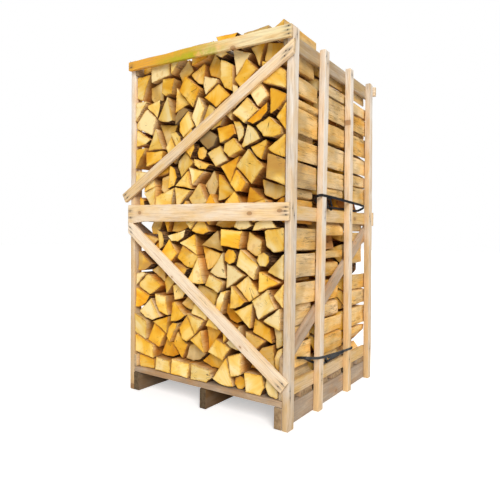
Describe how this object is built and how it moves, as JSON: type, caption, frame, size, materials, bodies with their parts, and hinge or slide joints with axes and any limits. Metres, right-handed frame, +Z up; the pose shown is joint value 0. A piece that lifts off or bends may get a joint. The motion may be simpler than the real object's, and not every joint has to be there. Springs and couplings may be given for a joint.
{
  "type": "crate of firewood",
  "caption": "Tall slatted softwood crate on a pallet, filled with tiers of split firewood, with slanting braces front and back and loose black straps on one side.",
  "frame": {"origin": "on the floor, under the middle of the crate's outline, its slanting braces and leaning posts included", "axes": "+Z up; the front, where the log ends show behind two slanting braces, faces -Y; +X to the right seen from the front"},
  "size_m": [1.2138, 1.1961, 2.0557],
  "materials": {
    "softwood": "sawn, unfinished",
    "weathered_softwood": "sawn, weathered grey",
    "split_hardwood": "split and sawn, unfinished",
    "strapping": "satin"
  },
  "bodies": {
    "root": {"back_board_middle": "softwood", "back_board_top": "softwood", "back_brace_lower": "softwood", "back_brace_upper": "softwood", "bearer_left": "weathered_softwood", "bearer_middle": "weathered_softwood", "bearer_right": "weathered_softwood", "deck_board_1": "weathered_softwood", "deck_board_2": "weathered_softwood", "deck_board_3": "weathered_softwood", "deck_board_4": "weathered_softwood", "deck_board_5": "weathered_softwood", "deck_board_6": "weathered_softwood", "front_board_middle": "softwood", "front_board_top": "softwood", "front_brace_lower": "softwood", "front_brace_upper": "softwood", "log_stack_back": "split_hardwood", "log_stack_front": "split_hardwood", "log_stack_middle": "split_hardwood", "post_left_1": "softwood", "post_left_2": "softwood", "post_left_3": "softwood", "post_left_4": "softwood", "post_right_1": "softwood", "post_right_2": "softwood", "post_right_3": "softwood", "post_right_4": "softwood", "side_brace_left": "weathered_softwood", "side_brace_right": "weathered_softwood", "side_rail_left_bottom": "softwood", "side_rail_left_middle": "softwood", "side_rail_left_top": "softwood", "side_rail_right_bottom": "softwood", "side_rail_right_middle": "softwood", "side_rail_right_top": "softwood", "strap_lower": "strapping", "strap_upper": "strapping", "top_log_back_1": "split_hardwood", "top_log_back_2": "split_hardwood", "top_log_back_3": "split_hardwood", "top_log_back_4": "split_hardwood", "top_log_back_5": "split_hardwood", "top_log_front_1": "split_hardwood", "top_log_front_2": "split_hardwood", "top_log_front_3": "split_hardwood", "top_log_front_4": "split_hardwood", "top_log_front_5": "split_hardwood", "top_log_middle_1": "split_hardwood", "top_log_middle_2": "split_hardwood", "top_log_middle_3": "split_hardwood", "top_log_middle_4": "split_hardwood", "top_log_middle_5": "split_hardwood"}
  },
  "joints": []
}
